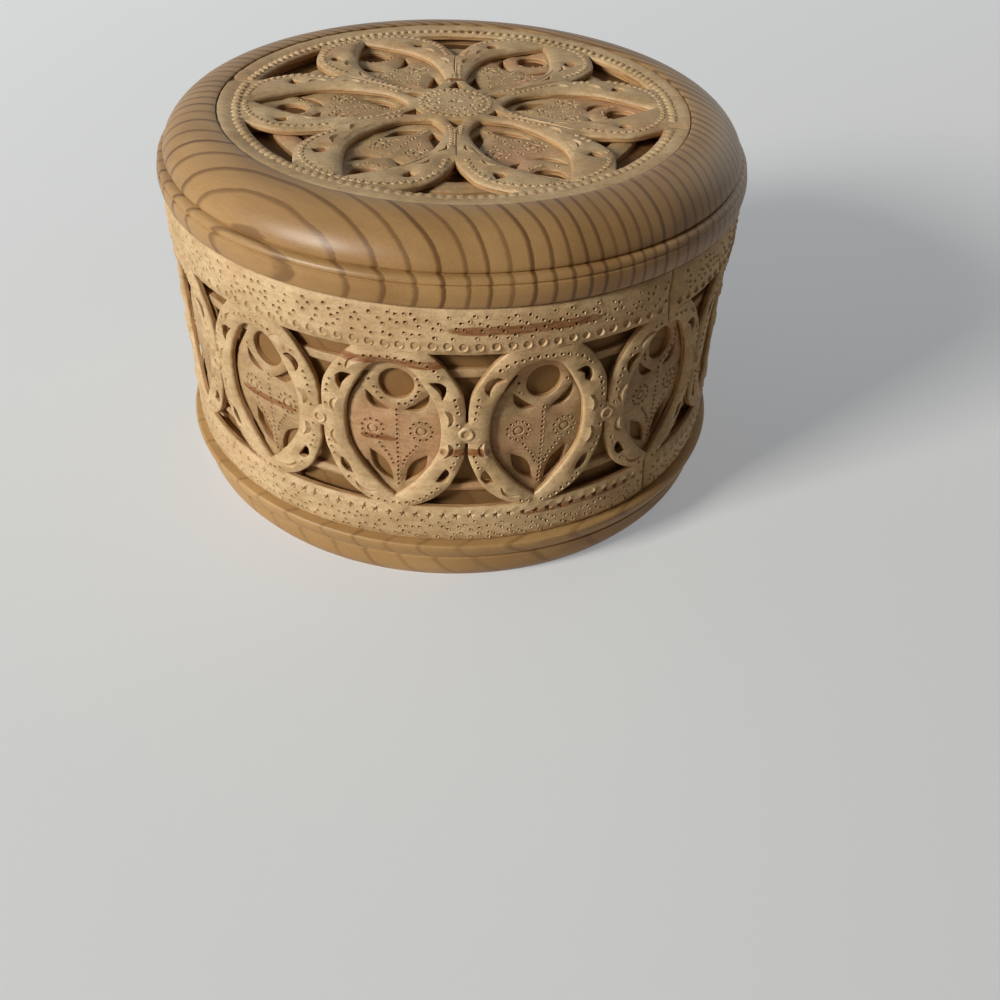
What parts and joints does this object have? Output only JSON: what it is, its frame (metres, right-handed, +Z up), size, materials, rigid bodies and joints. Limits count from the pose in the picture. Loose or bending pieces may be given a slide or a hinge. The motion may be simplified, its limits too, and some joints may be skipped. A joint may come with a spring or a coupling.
{
  "type": "birch bark box",
  "caption": "Round lidded box of turned pine, its wall and lid faced with openwork birch bark over a second, stamped bark layer.",
  "frame": {"origin": "centre of the flat underside, which the box stands on", "axes": "+Z up along the turning axis, -Y the front, +X to the right seen from the front"},
  "size_m": [0.0924, 0.0924, 0.0601],
  "materials": {
    "pine": "bare turned pine, sanded, satin",
    "bark": "inner side of birch bark, smooth, satin"
  },
  "bodies": {
    "box": {"turned_cup": "pine", "stamped_band": "bark", "openwork_band": "bark"},
    "lid": {"turned_lid": "pine", "stamped_rosette": "bark", "openwork_rosette": "bark"}
  },
  "joints": [
    {"name": "lid_lift", "type": "slide", "parent": "box", "child": "lid", "axis": [0, 0, 1], "range_m": [0, 0.03]}
  ]
}
